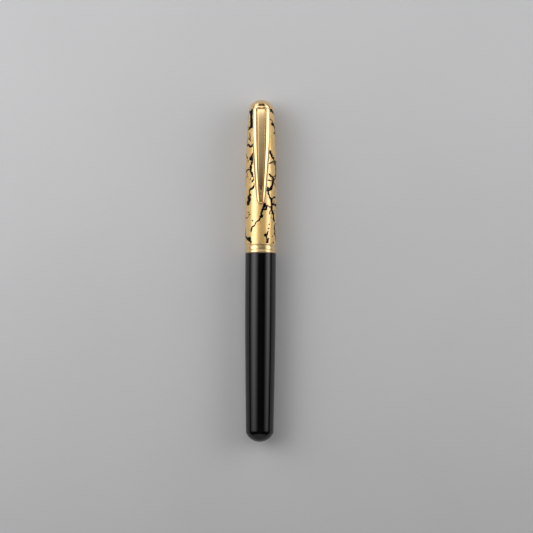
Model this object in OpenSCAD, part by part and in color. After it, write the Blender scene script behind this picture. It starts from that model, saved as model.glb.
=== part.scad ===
// A capped rollerball pen, lying on its side with its clip up.
// Each piece is drawn on the pen's own axis, with the tail at height 0, the cap's crown at the
// top and the clip towards -Y. lay_down() then turns the pen so that its axis runs along +Y
// and its clip faces +Z, with the origin on the table under the middle of the pen.

/* [Barrel] */
// Length of the barrel, from the tail to the mouth
barrel_length = 74.6; // [74:0.2:76]
// Outside diameter of the straight stretch behind the mouth
barrel_d = 12.24; // [12:0.02:12.4]
// Length of the straight stretch
barrel_straight = 22.6; // [18:0.2:30]
// Diameter where the taper meets the domed tail
tail_d = 10.94; // [10.4:0.02:11.4]
// Height of the domed tail
tail_dome = 3.7; // [3:0.1:4.4]
// Wall of the barrel's drawn tube
barrel_wall = 0.75; // [0.6:0.05:0.9]

/* [Cap] */
// Length of the cap, from its mouth to the crown of the finial
cap_length = 61.3; // [60:0.1:63]
// Outside diameter of the sleeve beside the band
sleeve_d = 12.36; // [12.2:0.02:12.44]
// Outside diameter of the sleeve at its top edge
sleeve_top_d = 9.74; // [9.4:0.02:10.2]
// Outside diameter of the band
band_d = 12.54; // [12.5:0.02:12.8]
// Width of the band
band_w = 3.8; // [3.4:0.1:4.4]
// Height of the domed finial
finial_h = 4; // [3.6:0.1:4.4]
// Gap between the cap's mouth and the barrel
cap_gap = 0.1; // [0.05:0.05:0.2]

/* [Clip] */
// Width of the clip at its shoulder
clip_w = 6.7; // [6:0.1:7]
// Width of the clip just above its rounded tip
clip_tip_w = 3.8; // [3.4:0.1:4.4]
// Length of the clip, from the sleeve's top edge to its tip
clip_length = 38.2; // [34:0.1:40]
// Height of the clip's back above the pen's axis
clip_back = 8; // [7.8:0.1:8.4]
// Thickness of the clip's metal
clip_t = 0.85; // [0.7:0.05:0.95]
// Depth of the groove down the clip's middle
clip_groove = 0.4; // [0.2:0.05:0.5]

/* [Grip section] */
// Diameter of the grip behind its front ridge
grip_d = 7.8; // [7.6:0.1:8.2]
// Largest diameter of the grip, at the snap land that the cap closes on
land_d = 9.44; // [9.3:0.02:9.5]
// Length of the writing point in front of the nose
point_out = 3.2; // [2.6:0.1:3.4]
// Pitch of the thread between the grip section and the barrel
thread_pitch = 0.75; // [0.5:0.05:1]

/* [Refill] */
// Length of the refill, from its rear plug to the ball
refill_length = 110.4; // [110.2:0.1:110.6]
// Diameter of the refill's tube
refill_d = 6.1; // [6:0.05:6.2]
// Diameter of the writing ball
ball_d = 0.7; // [0.5:0.1:0.8]

/* [Hidden] */
$fn = 96;

black_lacquer = [0.03, 0.03, 0.035];
black_resin = [0.07, 0.07, 0.075];
gold_plate = [0.86, 0.68, 0.36];
gold_leaf = [0.84, 0.67, 0.33];
brass = [0.72, 0.58, 0.3];
steel = [0.72, 0.73, 0.75];
felt = [0.16, 0.18, 0.4];
rubber_grey = [0.25, 0.25, 0.26];
white_resin = [0.88, 0.88, 0.86];

eps = 0.01;                         // how far a cutter runs past the face that it cuts
slip = 0.03;                        // gap round a piece that is pressed into another
play = 0.06;                        // gap round a piece that turns or slides in another
edge = 0.12;                        // width of the small chamfers on turned edges

// Outside: heights from the tail, and radii
mouth_z = barrel_length;
cap_z = mouth_z + cap_gap;
pen_length = cap_z + cap_length;
finial_z = pen_length - finial_h;
barrel_r = barrel_d / 2;
tail_r = tail_d / 2;
sleeve_r = sleeve_d / 2;
sleeve_top_r = sleeve_top_d / 2;
band_r = band_d / 2;

// Barrel and its end pieces
taper_z = mouth_z - barrel_straight;
taper_curve = 1.3;                  // above 1, so that the taper leaves the straight tangentially
dome_r = (tail_r * tail_r + tail_dome * tail_dome) / (2 * tail_dome);
tail_wall = 1;
bore_r = barrel_r - barrel_wall;
flange_r = 5.8;
flange_t = 0.4;
bushing_depth = 9;
seat_rim_z = 5.4;
seat_floor_z = 3.6;

// Grip section
collar_w = 1.2;
collar_play = 0.05;
grip_z = mouth_z + collar_w + 2 * collar_play;
grip_length = 39.4;                 // with its nose
nose_z = grip_z + grip_length;
nose_rear_z = nose_z - 4.4;
nose_spigot = 2.5;
nose_spigot_r = 2.9;
nose_front_r = 1.75;
land_w = 4.5;
neck_r = 3.95;
tenon_bore_r = refill_d / 2 + 0.15;
tenon_in_grip = 7;
thread_r = 4.55;
thread_depth = 0.4;
thread_turns = 8;
thread_length = thread_turns * thread_pitch;
thread_relief = 0.5;                // plain stretch between the mouth and the first turn
thread_z = mouth_z - thread_relief - thread_length;

// Refill, placed from its ball backwards
tip_z = nose_z + point_out;
plug_z = tip_z - refill_length;
refill_r = refill_d / 2;
tube_wall = 0.25;
tube_in_r = refill_r - tube_wall;
plug_head = 1.2;
shoulder_z = tip_z - 14.8;          // where the refill's full diameter stops inside the grip
housing_z = shoulder_z - 5.5;
housing_neck_r = 1.9;
point_z = tip_z - 6.9;              // front of the feed housing
point_r = 1.15;
point_tail = 3;
wick_r = 0.7;
wick_z = tip_z - 38;
ball_r = ball_d / 2;
ball_gap = 0.02;

// Spring between its seat and the refill
spring_wire = 0.2;
spring_r = 2.2;
spring_turns = 5;
spring_dead = 0.8;                  // turns at each end that hardly climb
spring_z0 = seat_floor_z + spring_wire + eps;
spring_z1 = plug_z - spring_wire - eps;

// Cap
sleeve_z = cap_z + band_w;
sleeve_bore_r = 5.35;
sleeve_wall = 0.5;
sleeve_curve = 4.5;                 // how late the sleeve's side turns in towards its top
sleeve_neck_r = 5.77;
sleeve_crown = 0.9;
ring_t = 0.6;
ring_r = 4.35;
ring_z = finial_z - ring_t;
crown_z = ring_z - sleeve_crown;
screw_r = 1.2;
screw_hole_r = 1.35;
screw_head_r = 2.1;
screw_head_h = 1.4;
screw_z = finial_z + 2.4;
seal_r = 3;
seal_z = tip_z - 1.4;
seal_t = 4.3;
liner_z = cap_z + 0.2;
liner_r = 4.85;
liner_floor_z = seal_z + seal_t + 0.4 + screw_head_h;
liner_floor = 2.5;
liner_lip = 0.07;                   // how far the snap fingers reach in
finger_count = 6;
finger_slot = [0.6, 6];
snap_z = grip_z + 1.5;              // middle of the groove that the fingers snap into

// Clip
clip_z = finial_z - clip_length;
clip_bend = 1.5;
clip_shoulder_z = finial_z - clip_bend;
clip_low = 7.1;                     // height of the clip's back at its tip, above the axis
clip_shift = 2;                     // the clip's back is crowned about a line this far off the axis
clip_foot_z = clip_z + 2.2;
clip_neck = 4.1;
rail_w = 1.6;                       // width of each rail beside the groove at the shoulder
groove_tip_w = 0.9;
root_r = 5;                         // distance from the axis at which the arm turns on its ring
root_gap = 0.05;

// --- Outlines ---------------------------------------------------------------------------

// Points on an arc about a centre [x, y]
function arc(c, r, a0, a1, n) =
    [for (i = [0:n]) let (a = a0 + (a1 - a0) * i / n) c + r * [cos(a), sin(a)]];

// n + 1 heights from z0 to z1
function steps(z0, z1, n) = [for (i = [0:n]) z0 + (z1 - z0) * i / n];

// The same, without z0
function steps_after(z0, z1, n) = [for (i = [1:n]) z0 + (z1 - z0) * i / n];

function reverse(list) = [for (i = [len(list) - 1:-1:0]) list[i]];

// Outside radius of the barrel at a height on its taper or its straight
function barrel_at(z) =
    z >= taper_z ? barrel_r :
    barrel_r - (barrel_r - tail_r) * pow((taper_z - z) / (taper_z - tail_dome), taper_curve);

// Outside radius of the sleeve at a height
function sleeve_at(z) =
    sleeve_r - (sleeve_r - sleeve_top_r)
        * pow(max(0, z - sleeve_z) / (finial_z - sleeve_z), sleeve_curve);

// Inside radius of the sleeve: a straight bore, until its wall would get too thin
function sleeve_bore_at(z) = min(sleeve_bore_r, sleeve_at(z) - sleeve_wall);

// Radius of the grip: a long waist from the snap land to a low ridge behind the nose
function grip_at(z) =
    let (t = (z - grip_z - land_w) / (nose_rear_z - grip_z - land_w), ridge = 0.18)
    grip_d / 2 + (land_d - grip_d) / 2 * pow(1 - t, 1.6) + ridge * pow(t, 8);

// Height above the axis of the clip's back, from its tip to its shoulder
function clip_top(z) =
    let (t = (z - clip_z) / (clip_shoulder_z - clip_z), shoulder_drop = 0.35)
    clip_back - (clip_back - clip_low) * pow(1 - t, 3) - shoulder_drop * pow(t, 3);

// Half width of the clip at a height, which narrows ever faster towards the tip
function clip_half(z) =
    let (t = (finial_z - z) / (clip_length - clip_tip_w / 2))
    clip_w / 2 - (clip_w - clip_tip_w) / 2 * pow(max(0, t), 2);

// --- Helpers ----------------------------------------------------------------------------

module lay_down()
    translate([0, -pen_length / 2, band_r]) rotate([-90, 0, 0]) children();

// Turns a half outline about the pen's axis
module turned(points)
    rotate_extrude() polygon(points);

// A round stack: each entry is [height, radius], joined by cones
module stack(entries)
    turned(concat([[0, entries[0][0]]], [for (e = entries) [e[1], e[0]]],
        [[0, entries[len(entries) - 1][0]]]));

// A round hole, or a plain round bar, from z0 to z1
module round_bar(r, z0, z1)
    translate([0, 0, z0]) cylinder(r = r, h = z1 - z0);

// A V-shaped ring that stands out from radius r, one pitch wide at its foot
module thread_ring(z, r, depth)
    turned([[r - eps, z - thread_pitch / 2], [r + depth, z - thread_pitch / 8],
        [r + depth, z + thread_pitch / 8], [r - eps, z + thread_pitch / 2]]);

// One ring for each turn of the thread
module thread_rings(r, depth)
    for (i = [0:thread_turns - 1])
        thread_ring(thread_z + (i + 0.5) * thread_pitch, r, depth);

// A round wire that follows a path, closed at both ends
module wire(path, r, sides) {
    n = len(path);
    points = [for (i = [0:n - 1])
        let (ahead = path[min(i + 1, n - 1)] - path[max(i - 1, 0)],
            along = ahead / norm(ahead),
            across = cross([0, 0, 1], along),
            side = across / norm(across),
            up = cross(along, side))
        for (k = [0:sides - 1])
            path[i] + r * (side * cos(360 * k / sides) + up * sin(360 * k / sides))];
    walls = [for (i = [0:n - 2]) for (k = [0:sides - 1])
        let (next = (k + 1) % sides)
        [i * sides + k, (i + 1) * sides + k, (i + 1) * sides + next, i * sides + next]];
    ends = [[for (k = [0:sides - 1]) k],
        [for (k = [sides - 1:-1:0]) (n - 1) * sides + k]];
    polyhedron(points, concat(walls, ends), convexity = 10);
}

// --- Barrel -----------------------------------------------------------------------------

// Lacquered brass tube, tapered and domed at the tail, with a seat for the bushing's flange
module barrel() {
    half = asin(tail_r / dome_r);
    outside = concat(
        arc([0, dome_r], dome_r, -90, -90 + half, 10),
        [for (z = steps_after(tail_dome, taper_z, 16)) [barrel_at(z), z]],
        [[barrel_r, mouth_z - edge], [barrel_r - edge, mouth_z]]);
    inner_r = dome_r - tail_wall;
    inner_half = asin((tail_r - barrel_wall) / inner_r);
    inner_dome = arc([0, dome_r], inner_r, -90, -90 + inner_half, 6);
    inside = concat(
        inner_dome,
        [for (z = steps_after(inner_dome[6][1], taper_z, 12)) [barrel_at(z) - barrel_wall, z]],
        [[bore_r, mouth_z - flange_t], [flange_r, mouth_z - flange_t], [flange_r, mouth_z]]);
    color(black_lacquer) lay_down() turned(concat(outside, reverse(inside)));
}

// Brass insert pressed into the barrel's mouth, with the female thread drawn as rings
module barrel_bushing() {
    z0 = mouth_z - bushing_depth;
    bore = thread_r + play;
    color(brass) lay_down() difference() {
        stack([[z0, bore_r - slip - edge], [z0 + edge, bore_r - slip],
            [mouth_z - flange_t, bore_r - slip], [mouth_z - flange_t, flange_r - slip],
            [mouth_z, flange_r - slip]]);
        round_bar(bore, z0 - eps, mouth_z + eps);
        thread_rings(bore, thread_depth - 0.1);
    }
}

// Moulded cup at the bottom of the barrel, which centres the spring
module spring_seat() {
    r = dome_r - tail_wall - slip;
    half = asin((tail_r - barrel_wall - slip - edge) / r);
    rim = barrel_at(seat_rim_z) - barrel_wall - slip - edge;
    color(white_resin) lay_down() difference() {
        turned(concat(arc([0, dome_r], r, -90, -90 + half, 8),
            [[rim, seat_rim_z - edge], [rim - edge, seat_rim_z], [0, seat_rim_z]]));
        round_bar(spring_r + spring_wire + 0.15, seat_floor_z, seat_rim_z + eps);
        round_bar(0.8, dome_r - r + 0.8, seat_rim_z);
    }
}

// Steel spring that pushes the refill forward: its end turns lie flat
module refill_spring() {
    n = spring_turns * 20;
    flat = 2 * spring_wire;         // how far each end turn climbs
    path = [for (i = [0:n])
        let (turn = spring_turns * i / n,
            left = spring_turns - turn,
            climb = min(1, max(0, (turn - spring_dead) / (spring_turns - 2 * spring_dead))),
            ends = min(turn, spring_dead) + spring_dead - min(left, spring_dead),
            z = spring_z0 + flat * ends / spring_dead
                + climb * (spring_z1 - spring_z0 - 2 * flat))
        [spring_r * cos(360 * turn), spring_r * sin(360 * turn), z]];
    color(steel) lay_down() wire(path, spring_wire, 8);
}

// --- Grip section -----------------------------------------------------------------------

// Loose gold ring between the grip's shoulder and the barrel's mouth
module section_collar() {
    z0 = mouth_z + collar_play;
    z1 = z0 + collar_w;
    r = land_d / 2;
    color(gold_plate) lay_down() difference() {
        stack([[z0, r - edge], [z0 + edge, r], [z1 - edge, r], [z1, r - edge]]);
        round_bar(neck_r + play, z0 - eps, z1 + eps);
    }
}

// Threaded brass sleeve pressed into the grip: the male thread is drawn as rings
module section_tenon() {
    root = thread_r - thread_depth;
    z0 = thread_z - 0.8;
    z1 = grip_z + tenon_in_grip;
    color(brass) lay_down() difference() {
        union() {
            stack([[z0, root - 0.3], [z0 + 0.3, root], [mouth_z - 0.2, root],
                [mouth_z - 0.2, neck_r], [z1, neck_r]]);
            thread_rings(root, thread_depth);
        }
        round_bar(tenon_bore_r, z0 - eps, z1 + eps);
    }
}

// Turned black grip with a snap land behind and a low ridge in front
module grip_section() {
    r = land_d / 2;
    snap_r = r - 0.25;
    waist_z = grip_z + land_w;
    outside = concat(
        [[r - edge, grip_z], [r, grip_z + edge], [r, snap_z - 0.8], [snap_r, snap_z - 0.4],
            [snap_r, snap_z + 0.4], [r, snap_z + 0.8], [r, waist_z]],
        [for (z = steps_after(waist_z, nose_rear_z, 18)) [grip_at(z), z]]);
    color(black_resin) lay_down() difference() {
        turned(concat([[0, grip_z]], outside, [[0, nose_rear_z]]));
        round_bar(neck_r + slip, grip_z - eps, grip_z + tenon_in_grip + slip);
        round_bar(tenon_bore_r, grip_z, shoulder_z + ball_gap);
        round_bar(housing_neck_r + 0.12, shoulder_z, nose_rear_z + eps);
        round_bar(nose_spigot_r + slip, nose_rear_z - nose_spigot - slip, nose_rear_z + eps);
    }
}

// Gold nose that the writing point comes out of
module nose_cone() {
    r = grip_at(nose_rear_z) - slip;
    foot_z = nose_rear_z + 0.5;
    cone = [for (i = [0:8]) let (t = i / 8)
        [r - (r - nose_front_r) * pow(t, 1.25), foot_z + (nose_z - 0.1 - foot_z) * t]];
    color(gold_plate) lay_down() difference() {
        turned(concat([[0, nose_rear_z - nose_spigot], [nose_spigot_r, nose_rear_z - nose_spigot],
            [nose_spigot_r, nose_rear_z], [r, nose_rear_z]], cone,
            [[nose_front_r - 0.1, nose_z], [0, nose_z]]));
        round_bar(housing_neck_r + 0.12, nose_rear_z - nose_spigot - eps, point_z + 0.15);
        round_bar(point_r + 0.1, point_z, nose_z + eps);
    }
}

// --- Refill -----------------------------------------------------------------------------

// Stainless tube, open at both ends
module refill_tube()
    color(steel) lay_down() difference() {
        round_bar(refill_r, plug_z + plug_head, housing_z);
        round_bar(tube_in_r, plug_z, housing_z + eps);
    }

// Plug in the tube's rear, with an air vent: the spring pushes on it
module refill_plug()
    color(white_resin) lay_down() difference() {
        stack([[plug_z, refill_r - 0.2], [plug_z + 0.2, refill_r], [plug_z + plug_head, refill_r],
            [plug_z + plug_head, tube_in_r - slip], [plug_z + 3.6, tube_in_r - slip]]);
        round_bar(0.3, plug_z - eps, plug_z + 4);
    }

// Fibre rod that holds the ink, bored for the wick at its front
module ink_reservoir()
    color(felt) lay_down() difference() {
        round_bar(tube_in_r - slip, plug_z + 4.5, housing_z - 4.2);
        round_bar(wick_r + slip, wick_z - slip, housing_z);
    }

// Thin fibre rod that carries the ink to the point
module ink_wick()
    color(felt) lay_down()
        stack([[wick_z, wick_r - 0.2], [wick_z + 0.4, wick_r],
            [point_z - point_tail - 0.4, wick_r], [point_z - point_tail - 0.1, wick_r - 0.3]]);

// Moulded front of the refill: a plug in the tube, a shoulder and a neck for the point
module feed_housing() {
    plug_r = tube_in_r - slip;
    color(black_resin) lay_down() difference() {
        stack([[housing_z - 4, plug_r - 0.2], [housing_z - 3.8, plug_r], [housing_z, plug_r],
            [housing_z, refill_r], [shoulder_z - 0.3, refill_r], [shoulder_z, refill_r - 0.3],
            [shoulder_z, housing_neck_r], [point_z - 0.2, housing_neck_r],
            [point_z, housing_neck_r - 0.2]]);
        round_bar(wick_r + slip, housing_z - 5, point_z);
        round_bar(point_r + slip, point_z - point_tail - slip, point_z + eps);
    }
}

// Nickel-silver writing point with the ball's socket
module refill_point() {
    ball_z = tip_z - ball_r;
    rim_r = ball_r + 0.06;
    color(steel) lay_down() difference() {
        stack([[point_z - point_tail, point_r], [point_z + 3.1, point_r],
            [point_z + 3.6, point_r - 0.15], [tip_z - 1.2, 0.62], [ball_z + 0.1, rim_r]]);
        round_bar(wick_r - 0.2, point_z - point_tail - eps, point_z + 2.5);
        round_bar(0.2, point_z, ball_z);
        translate([0, 0, ball_z]) sphere(r = ball_r + ball_gap);
    }
}

// Tungsten carbide ball
module writing_ball()
    color(steel) lay_down() translate([0, 0, tip_z - ball_r]) sphere(r = ball_r);

// --- Cap --------------------------------------------------------------------------------

// Rubber plug that closes over the point: it sits loose in the liner, so it need not turn
module tip_seal()
    color(rubber_grey) lay_down() difference() {
        stack([[seal_z, seal_r - 0.3], [seal_z + 0.3, seal_r], [seal_z + seal_t - 0.3, seal_r],
            [seal_z + seal_t, seal_r - 0.3]]);
        stack([[seal_z - eps, 1.3], [seal_z + 0.6, 0.85], [tip_z + 0.15, 0.55],
            [tip_z + 0.25, 0.2]]);
    }

// Black moulded liner: snap fingers at the mouth, the seal's seat and a post for the screw
module inner_cap() {
    post_r = 2.6;
    top_z = crown_z - slip;
    floor_z = liner_floor_z + liner_floor;
    straight_z = sleeve_z + 30;
    funnel_z = nose_z - 0.6;
    outer_r = sleeve_bore_r - slip;
    lip_r = liner_r - liner_lip;
    seat_r = seal_r + play;
    head_r = screw_head_r + 0.1;
    outside = concat([[outer_r - edge, liner_z], [outer_r, liner_z + edge], [outer_r, straight_z]],
        [for (z = steps_after(straight_z, floor_z, 10)) [sleeve_bore_at(z) - slip, z]],
        [[post_r, floor_z], [post_r, top_z]]);
    inside = [[liner_r, liner_z - eps], [liner_r, snap_z - 0.5], [lip_r, snap_z - 0.2],
        [lip_r, snap_z + 0.2], [liner_r, snap_z + 0.5], [liner_r, funnel_z],
        [seat_r, funnel_z + 2], [seat_r, liner_floor_z - screw_head_h - slip],
        [head_r, liner_floor_z - screw_head_h - slip], [head_r, liner_floor_z]];
    color(black_resin) lay_down() difference() {
        turned(concat([[0, liner_z]], outside, [[0, top_z]]));
        turned(concat([[0, liner_z - eps]], inside, [[0, liner_floor_z]]));
        round_bar(screw_hole_r, liner_floor_z - eps, top_z + eps);
        for (i = [0:finger_count - 1])
            rotate(360 * (i + 0.5) / finger_count)
                translate([4, -finger_slot[0] / 2, liner_z - 1])
                    cube([3, finger_slot[0], finger_slot[1] + 1]);
    }
}

// Brass sleeve under crackled gold leaf: necked at the mouth for the band, recessed at the top
// for the clip's ring, with a notch that the clip passes through
module cap_sleeve() {
    neck_z = cap_z + 0.15;
    neck = sleeve_neck_r - slip;
    straight_z = sleeve_z + 30;
    outside = concat([[neck, neck_z], [neck, sleeve_z]],
        [for (z = steps(sleeve_z, finial_z, 24)) [sleeve_at(z), z]]);
    inside = concat([[sleeve_bore_r, neck_z], [sleeve_bore_r, straight_z]],
        [for (z = steps_after(straight_z, crown_z, 10)) [sleeve_bore_at(z), z]],
        [[screw_hole_r, crown_z], [screw_hole_r, ring_z], [ring_r + slip, ring_z],
            [ring_r + slip, finial_z]]);
    notch = clip_neck + 0.2;
    color(gold_leaf) lay_down() difference() {
        turned(concat(outside, reverse(inside)));
        translate([-notch / 2, -sleeve_r, ring_z]) cube([notch, 3, ring_t + eps]);
    }
}

// Gold band round the cap's mouth: two beads with a broad land between them
module cap_band() {
    groove = 0.16;
    low = cap_z + 0.28 * band_w;
    high = cap_z + 0.8 * band_w;
    bead = 0.3;
    outside = concat(
        arc([band_r - bead, cap_z + bead], bead, -90, 0, 5),
        [[band_r, low - 0.16], [band_r - groove, low], [band_r - 0.03, low + 0.15],
            [band_r - 0.03, high - 0.15], [band_r - groove, high], [band_r, high + 0.16]],
        arc([band_r - bead, sleeve_z - bead], bead, 0, 90, 5));
    color(gold_plate) lay_down()
        turned(concat(outside, [[sleeve_neck_r, sleeve_z], [sleeve_neck_r, cap_z]]));
}

// Screw that clamps the liner, the sleeve and the clip's ring under the finial
module cap_screw() {
    head_z = liner_floor_z - screw_head_h;
    color(steel) lay_down() difference() {
        stack([[head_z, screw_head_r - 0.3], [head_z + 0.3, screw_head_r],
            [liner_floor_z, screw_head_r], [liner_floor_z, screw_r],
            [screw_z - 0.3, screw_r], [screw_z, screw_r - 0.3]]);
        translate([-3, -0.25, head_z - eps]) cube([6, 0.5, 0.7]);
    }
}

// Polished gold dome, tapped from below for the screw
module finial() {
    r = sleeve_top_r - slip;
    dome = [for (i = [0:14]) let (a = 90 * i / 14)
        [r * cos(a), finial_z + edge + (finial_h - edge) * sin(a)]];
    color(gold_plate) lay_down() difference() {
        turned(concat([[0, finial_z], [r - edge, finial_z]], dome));
        round_bar(screw_r + slip, finial_z - eps, screw_z + 0.2);
    }
}

// Ring of the clip, clamped between the sleeve and the finial, with the seat of its arm
module clip_ring()
    color(gold_plate) lay_down() difference() {
        union() {
            round_bar(ring_r, ring_z, finial_z);
            translate([-clip_neck / 2, 0.2 - root_r, ring_z]) cube([clip_neck, 3, ring_t]);
        }
        round_bar(screw_hole_r, ring_z - eps, finial_z + eps);
        root_pin(ring_t / 2 + root_gap, clip_neck + 1);
    }

// Round root of the clip's arm, which lies across the pen at the top of the sleeve
module root_pin(r, w)
    translate([-w / 2, -root_r, ring_z + ring_t / 2]) rotate([0, 90, 0])
        cylinder(r = r, h = w);

// Turns a side view of the clip, given as distance from the axis and height, into a crowned strip
module crowned(points)
    translate([0, -clip_shift, 0]) rotate_extrude()
        polygon([for (p = points) [p[0] - clip_shift, p[1]]]);

// Cuts a shape to an outline that is seen from above the clip
module trimmed(outline)
    intersection() {
        children();
        rotate([90, 0, 0]) linear_extrude(clip_back + 2) polygon(outline);
    }

// Arm of the clip: a bent strip with two rails, a groove that narrows to the tip, and a foot
module clip_arm()
    color(gold_plate) lay_down() difference() {
        union() {
            difference() {
                trimmed(clip_outline()) crowned(clip_side());
                round_bar(root_r + 0.3, clip_shoulder_z - 1, finial_z + eps);
            }
            root_pin(ring_t / 2, clip_neck);
            translate([-clip_neck / 2, -root_r - 1.2, ring_z]) cube([clip_neck, 1.2, ring_t]);
        }
        trimmed(groove_outline()) crowned(groove_side());
    }

// Side view of the clip's strip: its back, its bend, its belly and its foot
function clip_side() =
    let (bend_r = clip_top(clip_shoulder_z) - clip_bend,
        back = [for (z = steps(clip_z + 0.8, clip_shoulder_z, 16)) [clip_top(z), z]],
        bend = arc([bend_r, clip_shoulder_z], clip_bend, 0, 90, 6),
        neck = [[root_r + 0.6, finial_z], [root_r + 0.6, ring_z]],
        inner_bend = arc([bend_r, clip_shoulder_z], clip_bend - ring_t, 90, 0, 4),
        belly = [for (z = steps(clip_shoulder_z - 1, clip_foot_z + 2.4, 10))
            [clip_top(z) - clip_t, z]],
        foot_r = sleeve_at(clip_foot_z) + 0.18,
        foot = [[foot_r + 0.12, clip_foot_z + 1], [foot_r, clip_foot_z],
            [foot_r + 0.1, clip_foot_z - 1.2], [foot_r + 0.35, clip_z]])
    concat(back, bend, neck, inner_bend, belly, foot);

// Outline of the clip: straight shoulders, narrowing sides and a round tip
function clip_outline() =
    let (tip_r = clip_tip_w / 2,
        right = concat(arc([0, clip_z + tip_r], tip_r, -90, 0, 6),
            [for (z = steps_after(clip_z + tip_r, finial_z + eps, 12)) [clip_half(z), z]]),
        left = [for (p = reverse(right)) if (p[0] > eps) [-p[0], p[1]]])
    concat(right, left);

// Half width of the groove at a height: it keeps its width at first, then narrows to the tip
function groove_half(z) =
    let (t = (finial_z - z) / clip_length, wide = clip_w / 2 - rail_w)
    wide - (wide - groove_tip_w / 2) * pow(max(0, t), 1.8);

// Outline of the groove, which runs out through the clip's tip
function groove_outline() =
    let (right = concat([[groove_tip_w / 2, clip_z - 1]],
            [for (z = steps(clip_z, finial_z - 0.5, 12)) [groove_half(z), z]]))
    concat(right, [for (p = reverse(right)) [-p[0], p[1]]]);

// Side view of the groove's floor, which drops away at the tip
function groove_side() =
    let (floor_line = [for (z = steps(clip_z + 2.5, clip_shoulder_z, 12))
        [clip_top(z) - clip_groove, z]])
    concat([[clip_low - clip_groove - 0.4, clip_z - 0.1]], floor_line,
        [[clip_back + 1, clip_shoulder_z + 1], [clip_back + 1, clip_z - 0.1]]);

barrel();
barrel_bushing();
spring_seat();
refill_spring();
section_collar();
section_tenon();
grip_section();
nose_cone();
refill_tube();
refill_plug();
ink_reservoir();
ink_wick();
feed_housing();
refill_point();
writing_ball();
tip_seal();
inner_cap();
cap_sleeve();
cap_band();
cap_screw();
finial();
clip_ring();
clip_arm();
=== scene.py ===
import math
import random

import bmesh
import bpy
import numpy as np
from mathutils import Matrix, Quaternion, Vector, noise


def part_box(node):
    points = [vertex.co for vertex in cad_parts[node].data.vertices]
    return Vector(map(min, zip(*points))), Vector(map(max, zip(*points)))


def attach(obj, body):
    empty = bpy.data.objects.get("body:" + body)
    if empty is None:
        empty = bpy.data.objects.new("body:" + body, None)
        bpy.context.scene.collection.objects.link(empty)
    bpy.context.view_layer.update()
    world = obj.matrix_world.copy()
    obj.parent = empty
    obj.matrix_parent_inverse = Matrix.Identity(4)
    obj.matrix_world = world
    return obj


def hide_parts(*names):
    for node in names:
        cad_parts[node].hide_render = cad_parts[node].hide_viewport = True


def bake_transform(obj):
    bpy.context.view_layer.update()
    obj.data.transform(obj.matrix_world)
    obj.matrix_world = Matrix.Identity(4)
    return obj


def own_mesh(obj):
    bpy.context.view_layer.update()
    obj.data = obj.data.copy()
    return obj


# A capped rollerball pen. Shapes are worked out in millimetres on the pen's own axis: "across" to
# the right, "along" from the tail, and "up" through the clip. place() turns them into the frame.

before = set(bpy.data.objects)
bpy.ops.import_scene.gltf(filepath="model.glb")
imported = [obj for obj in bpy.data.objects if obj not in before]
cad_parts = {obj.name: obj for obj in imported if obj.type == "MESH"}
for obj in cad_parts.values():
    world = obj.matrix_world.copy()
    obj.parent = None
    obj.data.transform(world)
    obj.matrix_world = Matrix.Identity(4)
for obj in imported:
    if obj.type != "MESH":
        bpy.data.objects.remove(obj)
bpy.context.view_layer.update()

MM = 0.001
barrel_low, barrel_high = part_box("barrel")
AXIS_HEIGHT = (barrel_low.z + barrel_high.z) / 2
TAIL = barrel_low.y


def ends(node):
    """How far along the pen a CAD node starts and stops, in mm from the tail."""
    low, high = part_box(node)
    return (low.y - TAIL) / MM, (high.y - TAIL) / MM


def radius(node):
    """Largest radius of a round CAD node, in mm."""
    low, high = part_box(node)
    return (high.x - low.x) / 2 / MM


def place(points):
    """Rows of (across, along, up) in mm, in the frame's metres."""
    return np.asarray(points, float) * MM + (0, TAIL, AXIS_HEIGHT)


def smoothstep(x, low, high):
    """0 below low, 1 above high, and smooth between them."""
    t = np.clip((x - low) / (high - low), 0, 1)
    return t * t * (3 - 2 * t)


# --- Sizes, in mm -------------------------------------------------------------------------

MOUTH = ends("barrel")[1]
CAP_MOUTH, BAND_TOP = ends("cap_band")
FINIAL_FOOT, CROWN = ends("finial")
GRIP_REAR, NOSE_REAR = ends("grip_section")
NOSE_TIP = ends("nose_cone")[1]
CLIP_TIP = ends("clip_arm")[0]
BARREL_R = radius("barrel")
SLEEVE_R = radius("cap_sleeve")
BAND_R = radius("cap_band")
LAND_R = radius("grip_section")
FINIAL_R = radius("finial")
CLIP_HALF = radius("clip_arm")

TAIL_R, TAIL_DOME = 5.47, 3.7
TAPER_END, TAPER_CURVE = 52.0, 1.3
BARREL_WALL = 0.75
SLEEVE_TOP_R, SLEEVE_CURVE = FINIAL_R + 0.03, 4.5
SLEEVE_BORE = 5.35
RING_SEAT = FINIAL_FOOT - 0.6


def sleeve_at(along):
    """Outside radius of the cap's sleeve."""
    t = max(0.0, along - BAND_TOP) / (FINIAL_FOOT - BAND_TOP)
    return SLEEVE_R - (SLEEVE_R - SLEEVE_TOP_R) * t**SLEEVE_CURVE


def barrel_at(along):
    """Outside radius of the barrel above its domed tail."""
    t = max(0.0, (TAPER_END - along) / (TAPER_END - TAIL_DOME))
    return BARREL_R - (BARREL_R - TAIL_R) * t**TAPER_CURVE


# --- Mesh helpers ---------------------------------------------------------------------------


def arc(centre, r, start, stop, count):
    """Points (along, radius) on an arc about centre. 0 degrees points along the pen."""
    return [
        (centre[0] + r * math.cos(math.radians(a)), centre[1] + r * math.sin(math.radians(a)))
        for a in np.linspace(start, stop, count + 1)
    ]


def steps(start, stop, count):
    return [float(v) for v in np.linspace(start, stop, count + 1)]


def new_mesh(name, points, faces):
    """A mesh from points in mm."""
    mesh = bpy.data.meshes.new(name)
    mesh.from_pydata([tuple(p) for p in place(points)], [], faces)
    return mesh


def linked(mesh):
    """An object in the scene that shows a mesh."""
    made = bpy.data.objects.new(mesh.name, mesh)
    bpy.context.scene.collection.objects.link(made)
    return made


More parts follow.
